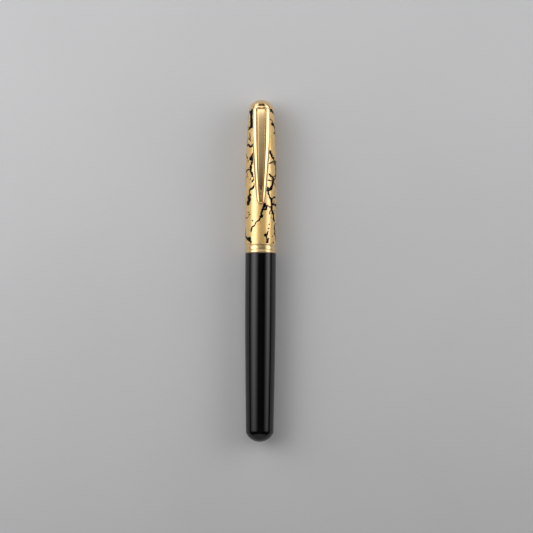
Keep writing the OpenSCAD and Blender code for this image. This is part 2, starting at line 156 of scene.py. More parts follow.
def finished(mesh, sharp=40):
    """A smooth object from a mesh: joined up, normals outwards, and edges over sharp degrees hard."""
    bm = bmesh.new()
    bm.from_mesh(mesh)
    bmesh.ops.remove_doubles(bm, verts=bm.verts, dist=1e-7)
    bmesh.ops.recalc_face_normals(bm, faces=bm.faces)
    bm.to_mesh(mesh)
    bm.free()
    mesh.shade_smooth()
    mesh.set_sharp_from_angle(angle=math.radians(sharp))
    return linked(mesh)


def grid_faces(rows, columns, wrap_rows=False):
    """Quads of a grid of points that closes round its columns, and round its rows if asked."""
    faces = []
    for j in range(rows if wrap_rows else rows - 1):
        a, b = j * columns, (j + 1) % rows * columns
        for i in range(columns):
            k = (i + 1) % columns
            faces.append((a + i, a + k, b + k, b + i))
    return faces


def lathe(name, outline, sides=160, **options):
    """Turns a closed half outline of (along, radius) points about the pen's axis."""
    angles = np.arange(sides) * 2 * math.pi / sides
    points = [(r * math.sin(a), along, r * math.cos(a)) for along, r in outline for a in angles]
    mesh = new_mesh(name, points, grid_faces(len(outline), sides, wrap_rows=True))
    return finished(mesh, **options)


def capped_sweep(rows):
    """Points and faces of a tube through rows of equally many points, closed at both ends."""
    columns = len(rows[0])
    faces = grid_faces(len(rows), columns)
    faces.append(tuple(reversed(range(columns))))
    faces.append(tuple(range((len(rows) - 1) * columns, len(rows) * columns)))
    return [p for row in rows for p in row], faces


# --- Materials ------------------------------------------------------------------------------


class Finish:
    """A node material: plain numbers go on the shader's sockets, and patterns are linked to it."""

    def __init__(self, name, **sockets):
        self.material = bpy.data.materials.new(name)
        self.material.use_nodes = True
        self.tree = self.material.node_tree
        self.shader = self.tree.nodes["Principled BSDF"]
        self.object_place = self.tree.nodes.new("ShaderNodeTexCoord").outputs["Object"]
        for socket, value in sockets.items():
            self.shader.inputs[socket.replace("_", " ")].default_value = value

    def node(self, kind, inputs=(), **settings):
        made = self.tree.nodes.new("ShaderNode" + kind)
        for key, value in settings.items():
            setattr(made, key, value)
        for socket, value in dict(inputs).items():
            self.put(made.inputs[socket], value)
        return made

    def put(self, socket, value):
        if isinstance(value, bpy.types.NodeSocket):
            self.tree.links.new(value, socket)
        else:
            socket.default_value = value

    def stretched(self, across=1.0, along=1.0, up=1.0):
        return self.node("VectorMath", {0: self.object_place, 1: (across, along, up)},
                         operation="MULTIPLY").outputs[0]

    def noise(self, size, detail=2.0, vector=None, roughness=0.5):
        """Noise from about 0.3 to 0.7 whose features are size mm across."""
        made = self.node("TexNoise", {"Vector": vector or self.object_place,
                                      "Scale": 1 / (size * MM), "Detail": detail,
                                      "Roughness": roughness})
        return made.outputs["Fac"]

    def scaled(self, value, low, high, start=0.3, stop=0.7, smooth=False):
        """value from start to stop, mapped from low to high."""
        made = self.node("MapRange", {"Value": value, "From Min": start, "From Max": stop,
                                      "To Min": low, "To Max": high},
                         interpolation_type="SMOOTHSTEP" if smooth else "LINEAR")
        return made.outputs[0]

    def math(self, operation, a, b):
        return self.node("Math", {0: a, 1: b}, operation=operation).outputs[0]

    def mixed(self, factor, first, second):
        made = self.node("Mix", {0: factor}, data_type="RGBA")
        for socket, value in zip(made.inputs[6:8], (first, second)):
            self.put(socket, value if isinstance(value, bpy.types.NodeSocket) else (*value, 1))
        return made.outputs[2]

    def bumps(self, *layers):
        """Layers of (height from 0 to 1, real height in mm)."""
        normal = None
        for height, size in layers:
            inputs = {"Height": height, "Distance": size * MM, "Strength": 1.0}
            if normal:
                inputs["Normal"] = normal
            normal = self.node("Bump", inputs).outputs[0]
        self.use("Normal", normal)
        return self

    def use(self, socket, value):
        self.put(self.shader.inputs[socket], value)
        return self


def colour_noise(finish, size, first, second, **options):
    """Base colour that wanders between two colours."""
    factor = finish.scaled(finish.noise(size, **options), 0, 1)
    return finish.use("Base Color", finish.mixed(factor, first, second))


def make_lacquer():
    made = Finish("black_lacquer", IOR=1.5, Coat_Weight=0.0)
    colour_noise(made, 3.0, (0.0008, 0.0008, 0.001), (0.0016, 0.0016, 0.0018))
    made.use("Roughness", made.scaled(made.noise(1.2, detail=4), 0.06, 0.1))
    return made.bumps((made.noise(1.6), 0.0015))


def make_gold(name, low, high, turned):
    """Polished gold plate under clear lacquer. Turned pieces keep faint marks round them."""
    made = Finish(name, Metallic=1.0, Coat_Weight=1.0, Coat_IOR=1.7, Coat_Roughness=0.1)
    colour_noise(made, 2.5, (0.97, 0.68, 0.32), (0.93, 0.63, 0.28))
    made.use("Roughness", made.scaled(made.noise(0.8, detail=4), low, high))
    marks = made.stretched(0.02, 1, 0.02) if turned else made.stretched(1, 0.04, 1)
    return made.bumps((made.noise(0.12, vector=marks), 0.0006), (made.noise(2.2), 0.003))


def make_leaf():
    """Gold leaf, torn into islands by cracks that show the lacquer under it, under clear lacquer."""
    made = Finish("crackled_gold_leaf", IOR=1.5, Specular_IOR_Level=0.12, Coat_IOR=1.9,
                  Coat_Roughness=0.1)
    distance = made.node("Attribute", attribute_name="crack_distance").outputs["Fac"]
    ragged = made.math("ADD", made.scaled(made.noise(0.22, detail=3), -0.13, 0.13),
                       made.scaled(made.noise(0.8), -0.07, 0.07))
    soft_edge = 0.025
    leaf = made.scaled(made.math("ADD", distance, ragged), 0, 1, -soft_edge, soft_edge, smooth=True)
    pale, deep, black = (1.0, 0.73, 0.3), (1.0, 0.57, 0.14), (0.001, 0.001, 0.0012)
    tone = made.mixed(made.scaled(made.noise(0.7, detail=6, roughness=0.7), 0, 1), pale, deep)
    made.use("Base Color", made.mixed(leaf, black, tone))
    metal, lacquer_roughness = 0.8, 0.02
    made.use("Metallic", made.math("MULTIPLY", leaf, metal))
    made.use("Coat Weight", leaf)
    matt = made.scaled(made.noise(0.4, detail=5, roughness=0.7), 0.22, 0.54)
    made.use("Roughness", made.math("ADD", made.math("MULTIPLY", matt, leaf), lacquer_roughness))
    creases = made.math("MULTIPLY", made.noise(0.5, detail=5, roughness=0.72), leaf)
    crease_height, leaf_thickness = 0.06, 0.012
    return made.bumps((creases, crease_height), (leaf, leaf_thickness))


def make_brass():
    made = Finish("brass", Metallic=1.0)
    colour_noise(made, 1.5, (0.78, 0.56, 0.27), (0.68, 0.47, 0.21), detail=4)
    made.use("Roughness", made.scaled(made.noise(0.6, detail=4), 0.22, 0.38))
    return made.bumps((made.noise(0.1, vector=made.stretched(0.03, 1, 0.03)), 0.002))


def make_steel(name, low, high):
    made = Finish(name, Metallic=1.0)
    colour_noise(made, 2.0, (0.62, 0.63, 0.65), (0.54, 0.55, 0.56))
    made.use("Roughness", made.scaled(made.noise(0.5, detail=4), low, high))
    return made.bumps((made.noise(0.08, vector=made.stretched(1, 0.05, 1)), 0.0015))


def make_plastic(name, first, second, low, high, grain):
    """Moulded plastic or rubber: grain is the height of its surface texture in mm."""
    made = Finish(name, IOR=1.5)
    colour_noise(made, 1.5, first, second, detail=3)
    made.use("Roughness", made.scaled(made.noise(0.7, detail=4), low, high))
    return made.bumps((made.noise(0.15, detail=3), grain))


def make_felt():
    made = Finish("ink_fibre", Roughness=0.95, Sheen_Weight=0.3, Sheen_Roughness=0.6)
    fibres = made.noise(0.12, detail=3, vector=made.stretched(1, 0.06, 1))
    made.use("Base Color", made.mixed(made.scaled(fibres, 0, 1), (0.02, 0.03, 0.12),
                                      (0.06, 0.08, 0.25)))
    return made.bumps((fibres, 0.05))


LACQUER = make_lacquer()
TURNED_GOLD = make_gold("polished_gold_turned", 0.12, 0.19, True)
BAND_GOLD = make_gold("polished_gold_band", 0.25, 0.33, True)
CLIP_GOLD = make_gold("polished_gold_clip", 0.1, 0.16, False)
GROOVE_GOLD = make_gold("satin_gold_groove", 0.21, 0.29, False)
LEAF = make_leaf()
BRASS = make_brass()
STEEL = make_steel("stainless_steel", 0.2, 0.32)
BALL_STEEL = make_steel("ball_carbide", 0.08, 0.14)
BLACK_RESIN = make_plastic("black_resin", (0.01, 0.01, 0.011), (0.014, 0.014, 0.015),
                           0.16, 0.24, 0.001)
WHITE_RESIN = make_plastic("white_resin", (0.75, 0.75, 0.72), (0.68, 0.68, 0.65),
                           0.35, 0.5, 0.004)
RUBBER = make_plastic("seal_rubber", (0.05, 0.05, 0.052), (0.07, 0.07, 0.072), 0.6, 0.8, 0.01)
FELT = make_felt()


def dress(made, slot, *finishes):
    """Gives a new piece its materials. The slot is not used."""
    for finish in finishes:
        made.data.materials.append(finish.material)
    return made


# --- Barrel and band ------------------------------------------------------------------------


def build_barrel():
    """Lacquered tube with a domed tail, open at the mouth where the bushing sits."""
    edge, dome_wall, flange_r, flange = 0.12, 1.0, 5.8, 0.4
    dome_r = (TAIL_R**2 + TAIL_DOME**2) / (2 * TAIL_DOME)
    half = math.degrees(math.asin(TAIL_R / dome_r))
    outside = arc((dome_r, 0), dome_r, 180, 180 - half, 28)
    outside += [(v, barrel_at(v)) for v in steps(TAIL_DOME, TAPER_END, 40)[1:]]
    outside += [(v, BARREL_R) for v in steps(TAPER_END, MOUTH - 2 * edge, 6)[1:]]
    outside += arc((MOUTH - edge, BARREL_R - edge), edge, 90, 0, 5)
    inner = dome_r - dome_wall
    inner_half = math.degrees(math.asin((TAIL_R - BARREL_WALL) / inner))
    inside = arc((dome_r, 0), inner, 180, 180 - inner_half, 12)
    inside += [(v, barrel_at(v) - BARREL_WALL) for v in steps(inside[-1][0], TAPER_END, 16)[1:]]
    inside += [(MOUTH - flange, BARREL_R - BARREL_WALL), (MOUTH - flange, flange_r),
               (MOUTH, flange_r)]
    made = lathe("barrel_tube", outside + inside[::-1], sides=192)
    return dress(made, "black_lacquer", LACQUER)


def build_band():
    """Gold band: a rounded bead at each edge, a fine groove beside each, and a broad land."""
    width = BAND_TOP - CAP_MOUTH
    low, high = CAP_MOUTH + 0.28 * width, CAP_MOUTH + 0.8 * width
    depth, groove, floor, bore = 0.16, 0.24, 0.09, 5.77
    bead, lip, lip_r, land_r = 0.3, 0.2, 0.3, BAND_R - 0.03
    hold = 0.06  # points this far past a curve keep the shading of a flat even
    outside = arc((CAP_MOUTH + bead, BAND_R - bead), bead, 180, 90, 8)
    outside += [(CAP_MOUTH + bead + hold, BAND_R), (low - groove - bead - hold, BAND_R)]
    outside += arc((low - groove - bead, BAND_R - bead), bead, 90, 30, 4)
    outside += [(low - floor, BAND_R - depth), (low + floor, BAND_R - depth)]
    outside += arc((low + groove + lip, land_r - lip_r), lip_r, 150, 90, 4)
    outside += [(low + groove + lip + hold, land_r), (high - groove - lip - hold, land_r)]
    outside += arc((high - groove - lip, land_r - lip_r), lip_r, 90, 30, 4)
    outside += [(high - floor, BAND_R - depth), (high + floor, BAND_R - depth)]
    outside += arc((high + groove + bead / 2, BAND_R - bead), bead, 150, 90, 4)
    outside += arc((BAND_TOP - bead, BAND_R - bead), bead, 90, 0, 8)
    outline = outside + [(BAND_TOP, bore), (CAP_MOUTH, bore)]
    made = lathe("cap_band_ring", outline, sides=192, sharp=50)
    return dress(made, "gold_plate", BAND_GOLD)


def build_finial():
    """Domed top of the cap, tapped from below for the screw."""
    edge, screw_r, screw_top = 0.12, 1.23, FINIAL_FOOT + 2.6
    dome = [
        (FINIAL_FOOT + edge + (CROWN - FINIAL_FOOT - edge) * math.sin(a), FINIAL_R * math.cos(a))
        for a in np.linspace(0, math.pi / 2, 33)[:-1]
    ]
    outline = [(FINIAL_FOOT, screw_r), (FINIAL_FOOT, FINIAL_R - edge)]
    outline += arc((FINIAL_FOOT + edge, FINIAL_R - edge), edge, 180, 90, 4)[1:-1]
    outline += dome + [(CROWN, 0), (screw_top, 0), (screw_top, screw_r)]
    return dress(lathe("finial_dome", outline), "gold_plate", TURNED_GOLD)


# --- Grip section ---------------------------------------------------------------------------

COLLAR_NECK = 4.01
TENON_BORE = 3.2
NOSE_BORE = 2.02
LAND_WIDTH = 4.5


def build_collar():
    low, high = ends("section_collar")
    edge = 0.2
    outline = arc((low + edge, LAND_R - edge), edge, 180, 90, 5)
    outline += arc((high - edge, LAND_R - edge), edge, 90, 0, 5)
    outline += [(high, COLLAR_NECK), (low, COLLAR_NECK)]
    return dress(lathe("collar_ring", outline), "gold_plate", TURNED_GOLD)


def grip_at(along):
    """Radius of the grip: a long waist from the snap land to a low ridge behind the nose."""
    waist_r, ridge = 3.9, 0.18
    t = (along - GRIP_REAR - LAND_WIDTH) / (NOSE_REAR - GRIP_REAR - LAND_WIDTH)
    return waist_r + (LAND_R - waist_r) * max(0, 1 - t) ** 1.6 + ridge * t**8


def build_grip():
    """Turned grip with the groove that the cap's fingers snap into."""
    edge, snap, snap_half, depth = 0.15, GRIP_REAR + 1.5, 0.8, 0.25
    outside = arc((GRIP_REAR + edge, LAND_R - edge), edge, 180, 90, 4)
    outside += [(v, LAND_R - depth * (1 + math.cos(math.pi * (v - snap) / snap_half)) / 2)
                for v in steps(snap - snap_half, snap + snap_half, 12)]
    outside += [(v, grip_at(v)) for v in steps(GRIP_REAR + LAND_WIDTH, NOSE_REAR, 48)]
    spigot_r, spigot_end = 2.93, NOSE_REAR - 2.53
    socket_r, socket_end = 3.98, GRIP_REAR + 7.03
    shoulder = NOSE_TIP - 11.6
    inside = [(NOSE_REAR, spigot_r), (spigot_end, spigot_r), (spigot_end, NOSE_BORE),
              (shoulder, NOSE_BORE), (shoulder, TENON_BORE), (socket_end, TENON_BORE),
              (socket_end, socket_r), (GRIP_REAR, socket_r)]
    return dress(lathe("grip_body", outside + inside), "black_resin", BLACK_RESIN)


def build_nose():
    """Gold nose round the writing point."""
    rear, spigot_r, chamfer, curve = NOSE_REAR - 2.5, 2.9, 0.08, 1.25
    foot_r, foot = grip_at(NOSE_REAR) - 0.03, NOSE_REAR + 0.5
    front_r, edge = 1.75, 0.15
    front = NOSE_TIP - edge
    outside = [(rear, spigot_r), (NOSE_REAR, spigot_r), (NOSE_REAR, foot_r - chamfer),
               (NOSE_REAR + chamfer, foot_r), (foot, foot_r)]
    outside += [(v, foot_r - (foot_r - front_r) * ((v - foot) / (front - foot)) ** curve)
                for v in steps(foot, front, 24)[1:]]
    outside += arc((front, front_r - edge), edge, 70, 0, 4)
    point_r, point_end = 1.25, NOSE_TIP - 3.55
    inside = [(NOSE_TIP, point_r), (point_end, point_r), (point_end, NOSE_BORE), (rear, NOSE_BORE)]
    return dress(lathe("nose_shell", outside + inside), "gold_plate", TURNED_GOLD)


def build_tenon():
    """Threaded sleeve of the grip, with a real helix where the CAD draws rings."""
    low, high = ends("section_tenon")
    crest_r, depth, pitch, turns, run_out = 4.55, 0.4, 0.75, 8, 0.5
    start = MOUTH - 0.5 - turns * pitch
    sides, root_r, neck_r, neck_end, chamfer = 96, crest_r - depth, 3.95, MOUTH - 0.2, 0.3
    angles = np.arange(sides) * 2 * math.pi / sides
    rows = [(low, TENON_BORE), (low, root_r - chamfer), (low + chamfer, root_r)]
    rows += [(v, None) for v in steps(start, start + turns * pitch, turns * 14)]
    rows += [(neck_end, root_r), (neck_end, neck_r), (high, neck_r), (high, TENON_BORE)]
    points = []
    for along, r in rows:
        for a in angles:
            here = r
            if r is None:
                phase = (along - start) / pitch - a / (2 * math.pi)
                ridge = 1 - abs(2 * (phase - math.floor(phase)) - 1)
                fade = min(1, (along - start) / run_out, (start + turns * pitch - along) / run_out)
                here = root_r + depth * max(0, fade) * min(1, 1.3 * ridge)
            points.append((here * math.sin(a), along, here * math.cos(a)))
    mesh = new_mesh("section_thread", points, grid_faces(len(rows), sides, wrap_rows=True))
    return dress(finished(mesh, sharp=60), "brass", BRASS)


def build_spring():
    """Compression spring between its seat and the refill, with closed end turns."""
    low, high = ends("refill_spring")
    wire, coil_r, turns, dead = 0.2, 2.2, 5, 0.8
    start, stop = low + wire, high - wire
    flat = 2 * wire
    path = []
    for turn in steps(0, turns, 240):
        left = turns - turn
        climb = min(1, max(0, (turn - dead) / (turns - 2 * dead)))
        climbed_flat = flat * (min(turn, dead) + dead - min(left, dead)) / dead
        along = start + climbed_flat + climb * (stop - start - 2 * flat)
        a = 2 * math.pi * turn
        path.append(Vector((coil_r * math.sin(a), along, coil_r * math.cos(a))))
    rows = []
    for i, here in enumerate(path):
        run = (path[min(i + 1, len(path) - 1)] - path[max(i - 1, 0)]).normalized()
        side = run.cross(Vector((0, 1, 0))).normalized()
        up = side.cross(run)
        rows.append([here + wire * (side * math.cos(a) + up * math.sin(a))
                     for a in np.linspace(0, 2 * math.pi, 13)[:-1]])
    return dress(finished(new_mesh("spring_coil", *capped_sweep(rows))), "steel", STEEL)


# --- Cap sleeve under crackled leaf ---------------------------------------------------------

# Cracks that are seen beside the clip: a width in mm, then points of (degrees to the clip's
# right, mm along the pen). all_cracks() widens each one and roughen() breaks it up.
CRACKS = [
    (0.38, [(15, 94), (9, 92.5), (3, 90.5), (2, 89)]),
    (0.22, [(2, 89), (-4, 88), (-19, 86.5), (-31, 85), (-39, 83)]),
    (0.2, [(11, 93), (23, 93.3), (40, 92.8)]),
    (0.25, [(7, 91.3), (15, 91.7), (24, 92.8)]),
    (0.4, [(26, 100.5), (30, 97.7), (36, 96.5), (43, 96)]),
    (0.2, [(43, 96.2), (51, 96.6), (70, 96.7)]),
    (0.45, [(43, 96), (45, 94), (43, 92), (48, 90.7), (55, 89), (59, 87.4)]),
    (0.35, [(44, 94), (57, 94), (79, 93.5)]),
    (0.5, [(35, 114.9), (44, 113), (60, 111), (74, 109.4), (73, 107), (70, 104.5)]),
    (0.4, [(33, 105.7), (46, 104.7), (61, 103.9)]),
    (0.6, [(55, 103.7), (50, 102.2), (44, 100.8), (30, 99.4)]),
    (0.8, [(-45, 131.7), (-52, 131), (-50, 129.3), (-49, 127.7), (-44, 126), (-42, 124.8)]),
    (0.4, [(-79, 132), (-64, 130.8), (-54, 130.3)]),
    (0.5, [(-45, 124.6), (-58, 124.4), (-61, 123.8)]),
    (0.4, [(-72, 117.3), (-63, 117.8), (-50, 116.9), (-41, 116.8), (-34, 117.2)]),
    (0.25, [(-54, 122), (-50, 121), (-53, 119.7)]),
    (0.5, [(-32, 113.8), (-36, 112.8), (-40, 112), (-32, 111.4), (-38, 110), (-42, 108.7),
           (-42, 107.3), (-35, 106), (-34, 105)]),
    (0.2, [(-43, 107.3), (-57, 107.6), (-72, 106.7)]),
    (0.25, [(-73, 114), (-67, 112.7), (-62, 112.2)]),
    (0.3, [(-28, 104.6), (-24, 104), (-31, 103.3), (-33, 102.7)]),
    (0.35, [(-26, 102), (-28, 101), (-37, 100), (-47, 99.2), (-48, 98.4), (-40, 97.6)]),
    (0.7, [(-51, 97), (-46, 96), (-53, 94.7), (-58, 94)]),
    (0.5, [(-82, 84), (-76, 81.7), (-61, 80.6), (-48, 80.2), (-39, 79)]),
    (0.3, [(18, 81.7), (22, 80.9), (24, 80), (25, 79)]),
    (0.25, [(28, 83), (26, 82), (22, 81.5)]),
    (0.25, [(26, 79.8), (31, 80.3)]),
    (0.35, [(69, 86.4), (62, 85.2), (65, 83.6), (61, 82.4), (72, 81.5), (74, 80)]),
    (0.45, [(51, 131.6), (58, 131.3), (72, 130.5)]),
    (0.5, [(52, 126), (63, 125.6), (73, 124.7), (81, 124)]),
    (0.3, [(63, 122.2), (77, 123)]),
]

# Spots: a width in mm, then its place, as above
SPOTS = [
    (0.7, (2, 89)), (1.0, (-42, 112)), (1.2, (-47, 80.2)), (0.7, (18, 81.7)), (0.8, (26, 79)),
    (0.8, (58, 103.9)), (0.6, (43, 100.8)), (0.7, (52, 126)), (0.9, (-51, 96.4)),
    (0.35, (-31, 87.4)), (0.3, (-46, 89.8)), (0.25, (-49, 90.7)), (0.3, (50, 81.3)),
    (0.25, (31, 84.3)), (0.2, (33, 86)), (0.3, (55, 78.8)), (0.3, (-58, 111.2)),
    (0.3, (-43, 103.9)), (0.5, (-50, 131.2)), (0.7, (53, 131.4)),
]


def roughen(line, rng, rounds=3):
    """Splits a line of (degrees, along, width) again and again, and moves each new point aside."""
    jitter = 0.13
    for _ in range(rounds):
        finer = [line[0]]
        for first, second in zip(line, line[1:]):
            turn = math.radians(second[0] - first[0]) * SLEEVE_R
            rise = second[1] - first[1]
            shift = rng.gauss(0, jitter)
            finer.append((
                (first[0] + second[0]) / 2 - math.degrees(shift * rise / SLEEVE_R),
                (first[1] + second[1]) / 2 + shift * turn,
                (first[2] + second[2]) / 2 * rng.uniform(0.75, 1.35),
            ))
            finer.append(second)
        line = finer
    return line


def wander(rng, degrees, along, heading, length, width):
    """A crack that wanders mostly along the pen, with branches that grow thinner."""
    swerve, steepest, branching = 38, 75, 0.42
    line, branches, gone = [(degrees, along, width)], [], 0.0
    while gone < length and BAND_TOP < along < FINIAL_FOOT:
        stride = rng.uniform(1.0, 2.6)
        heading += rng.gauss(0, swerve)
        if abs(heading) < 90:
            heading = max(-steepest, min(steepest, heading))
        degrees += math.degrees(stride * math.sin(math.radians(heading)) / SLEEVE_R)
        along += stride * math.cos(math.radians(heading))
        line.append((degrees, along, width * rng.uniform(0.5, 1.3)))
        gone += stride
        if width > 0.2 and rng.random() < branching:
            side = rng.choice((-1, 1)) * rng.uniform(45, 85)
            branches += wander(rng, degrees, along, heading + side, length * 0.35, width * 0.6)
    return [line] + branches


def all_cracks():
    """Every crack as a roughened line, and every spot: those in view, and random ones behind."""
    rng = random.Random(11)
    behind, specks = range(95, 270, 22), 150
    lines = [[(a, v, 1.45 * width + 0.2) for a, v in points] for width, points in CRACKS]
    for degrees in behind:
        along = BAND_TOP + rng.uniform(0, 4)
        while along < FINIAL_FOOT - 2:
            reach = rng.uniform(5, 14)
            lines += wander(rng, degrees + rng.uniform(-8, 8), along, rng.uniform(-40, 40),
                            reach, rng.uniform(0.3, 0.55))
            along += reach + rng.uniform(0, 4)
    cracks = [roughen(line, rng) for line in lines]
    for width, (degrees, along) in SPOTS:
        width = 1.3 * width + 0.15
        spot = [(degrees - 1.5, along - 0.1, width), (degrees + 1.5, along + 0.1, width * 0.7)]
        cracks.append(roughen(spot, rng, 2))
    for _ in range(specks):
        degrees, along = rng.uniform(-180, 180), rng.uniform(BAND_TOP, FINIAL_FOOT)
        width = rng.uniform(0.08, 0.2)
        cracks.append([(degrees, along, width), (degrees + rng.uniform(-2, 2), along + 0.15, 0.08)])
    return cracks


def crack_distance(degrees, along):
    """Signed distance in mm from the edge of the nearest crack, below 0 inside it, on a grid."""
    reach = 1.0
    field = np.full((len(along), len(degrees)), reach)
    step = degrees[1] - degrees[0]
    radii = np.array([sleeve_at(v) for v in along])
    for line in all_cracks():
        for (a0, v0, w0), (a1, v1, w1) in zip(line, line[1:]):
            rows = np.nonzero((along > min(v0, v1) - reach) & (along < max(v0, v1) + reach))[0]
            if not len(rows):
                continue
            margin = math.degrees(reach / radii[rows].min())
            first = math.floor((min(a0, a1) - margin - degrees[0]) / step)
            last = math.ceil((max(a0, a1) + margin - degrees[0]) / step)
            columns = np.arange(first, last + 1)
            scale = np.radians(1) * radii[rows][:, None]
            x = (degrees[0] + columns * step - a0)[None, :] * scale
            y = (along[rows] - v0)[:, None] + 0 * x
            dx, dy = (a1 - a0) * scale, v1 - v0
            t = np.clip((x * dx + y * dy) / (dx * dx + dy * dy + 1e-9), 0, 1)
            gap = np.hypot(x - t * dx, y - t * dy) - (w0 + (w1 - w0) * t) / 2
            block = np.ix_(rows, columns % len(degrees))
            field[block] = np.minimum(field[block], gap)
    return field


def build_sleeve():
    """Sleeve of the cap: leaf in relief outside, a bare bore, and the seat of the clip's ring."""
    columns, count = 252, 344
    relief, wrinkle, wrinkle_size, crack_wall = 0.02, 0.012, 0.7, 0.05
    notch_half, seat_r, foot_r, wall = 2.15, 4.38, 5.74, 0.5
    crown, screw_r, straight, foot = RING_SEAT - 0.9, 1.35, BAND_TOP + 30, CAP_MOUTH + 0.15
    degrees = np.arange(columns) * 360 / columns - 180
    turn = np.radians(degrees)
    along = np.linspace(BAND_TOP, FINIAL_FOOT, count)
    distance = crack_distance(degrees, along)
    outer = np.zeros((count, columns, 3))
    for j, v in enumerate(along):
        r = sleeve_at(v)
        for i, a in enumerate(turn):
            leaf = smoothstep(distance[j, i], -crack_wall, crack_wall)
            crease = noise.noise(Vector((r * math.sin(a), v, r * math.cos(a))) / wrinkle_size)
            here = r - relief * (1 - leaf) - wrinkle * leaf * abs(crease)
            cut = abs(r * math.sin(a)) < notch_half and math.cos(a) > 0
            outer[j, i] = here * math.sin(a), min(v, RING_SEAT) if cut else v, here * math.cos(a)
    inside = [(FINIAL_FOOT, seat_r), (RING_SEAT, seat_r), (RING_SEAT, screw_r), (crown, screw_r)]
    inside += [(v, min(SLEEVE_BORE, sleeve_at(v) - wall)) for v in steps(crown, straight, 12)]
    inside += [(foot, SLEEVE_BORE), (foot, foot_r), (BAND_TOP, foot_r)]
    rows = [np.stack([r * np.sin(turn), np.full(columns, v), r * np.cos(turn)], axis=1)
            for v, r in inside]
    rim = sleeve_at(FINIAL_FOOT) * np.sin(turn)
    rows[0][(np.abs(rim) < notch_half) & (np.cos(turn) > 0), 1] = RING_SEAT
    points = np.concatenate([outer.reshape(-1, 3)] + rows)
    faces = grid_faces(count + len(inside), columns, wrap_rows=True)
    mesh = new_mesh("sleeve_shell", points, faces)
    values = np.full(len(points), 1.0, np.float32)
    values[: count * columns] = distance.ravel()
    mesh.attributes.new("crack_distance", "FLOAT", "POINT").data.foreach_set("value", values)
    material = np.ones(len(faces), np.int32)
    material[: (count - 1) * columns] = 0
    mesh.polygons.foreach_set("material_index", material)
    return dress(finished(mesh, sharp=50), "gold_leaf", LEAF, BRASS)


# --- Clip -----------------------------------------------------------------------------------

CLIP_BACK = 8.0
ROOT_R = 5.0
TIP_LENGTH, TIP_HALF = 2.2, 1.75
GROOVE_HALF, GROOVE_WALL = 2.13, 0.6
CROWN_R, TIP_CROWN_R, BELLY_R = 5.2, 2.6, 6.3
BEND, BEND_START = 0.8, math.radians(8)
SHOULDER = FINIAL_FOOT - BEND * (1 - math.sin(BEND_START))


def clip_top(along):
    """Height of the clip's back above the axis."""
    rise, drop, reach = 0.9, 0.25, 1.8
    t = min(1, (along - CLIP_TIP) / (FINIAL_FOOT - CLIP_TIP))
    return CLIP_BACK - rise * (1 - t) ** 3 - drop * math.exp((along - SHOULDER) / reach)


def clip_half(along):
    """Half width of the clip above its rounded tip."""
    narrowest, curve = CLIP_TIP + 1.9, 3.6
    t = (FINIAL_FOOT - along) / (FINIAL_FOOT - narrowest)
    return CLIP_HALF - (CLIP_HALF - TIP_HALF) * max(0, t) ** curve


def groove_half(along):
    """Half width of the clip's groove, with its walls."""
    narrowing, curve = 1.36, 2.2
    t = (FINIAL_FOOT - along) / (FINIAL_FOOT - CLIP_TIP)
    return GROOVE_HALF - narrowing * max(0, t) ** curve


def groove_wall(groove):
    """Width of each sloping wall of the groove."""
    return min(GROOVE_WALL, groove * 0.5)


def crown_drop(across, r):
    """How far a crowned strip of radius r falls away beside its middle."""
    return r - math.sqrt(max(0.0, r * r - across * across))


def clip_stations():
    """Sections of the clip from tip to root: (outer along, outer up, inner along, inner up,
    half width, groove half width, groove depth as a share of the thickness, crown radius)."""
    thickness, inner_bend, curved = 0.85, 0.05, 5
    nose, nose_drop, blunt = 0.8, 0.34, 0.012
    pad, pad_middle, pad_length = 0.12, 2.4, 1.6
    slope, tip_depth, bend_depth, no_groove = 1.22, 0.2, 0.72, 0.001
    crown_growth, crown_start = 0.11, 4
    body = [CLIP_TIP + v for v in (0, 0.02, 0.06, 0.12, 0.22, 0.36, 0.54, 0.78, 1.06, 1.4, 1.8)]
    body += steps(CLIP_TIP + TIP_LENGTH, SHOULDER - curved, 48)
    body += steps(SHOULDER - curved, SHOULDER, 20)[1:]
    stations = []
    for v in body:
        from_tip = v - CLIP_TIP
        end = max(0.0, 1 - from_tip / TIP_LENGTH)
        half = clip_half(max(v, CLIP_TIP + TIP_LENGTH)) * math.sqrt(max(blunt, 1 - end * end))
        foot = pad * math.exp(-(((from_tip - pad_middle) / pad_length) ** 2))
        rounded = nose_drop * (1 - math.sqrt(1 - max(0, 1 - from_tip / nose) ** 2))
        top = clip_top(v)
        groove = min(groove_half(v), half * 0.72)
        deep = slope * groove_wall(groove) + tip_depth * end
        crown = TIP_CROWN_R + crown_growth * (from_tip - crown_start)
        crown = max(TIP_CROWN_R, min(CROWN_R, crown))
        stations.append((v, top - rounded, v, top - thickness - foot, half, groove, deep, crown))
    middle, up = FINIAL_FOOT - BEND, clip_top(SHOULDER) - BEND * math.cos(BEND_START)
    for a in steps(BEND_START, math.pi / 2, 12)[1:]:
        deep = bend_depth * math.cos(a) ** 0.5 + no_groove
        stations.append((middle + BEND * math.sin(a), up + BEND * math.cos(a),
                         middle + inner_bend * math.sin(a), up + inner_bend * math.cos(a),
                         CLIP_HALF, GROOVE_HALF, deep, CROWN_R))
    neck_half, neck_top, neck_groove = 2.05, ROOT_R + 0.75, 1.2
    for up, half in ((neck_top, CLIP_HALF), (neck_top - 0.12, CLIP_HALF - 0.1),
                     (neck_top - 0.2, neck_half), (ROOT_R, neck_half), (ROOT_R - 0.25, neck_half)):
        stations.append((FINIAL_FOOT, up, RING_SEAT, up, half, neck_groove, no_groove, CROWN_R))
    return stations


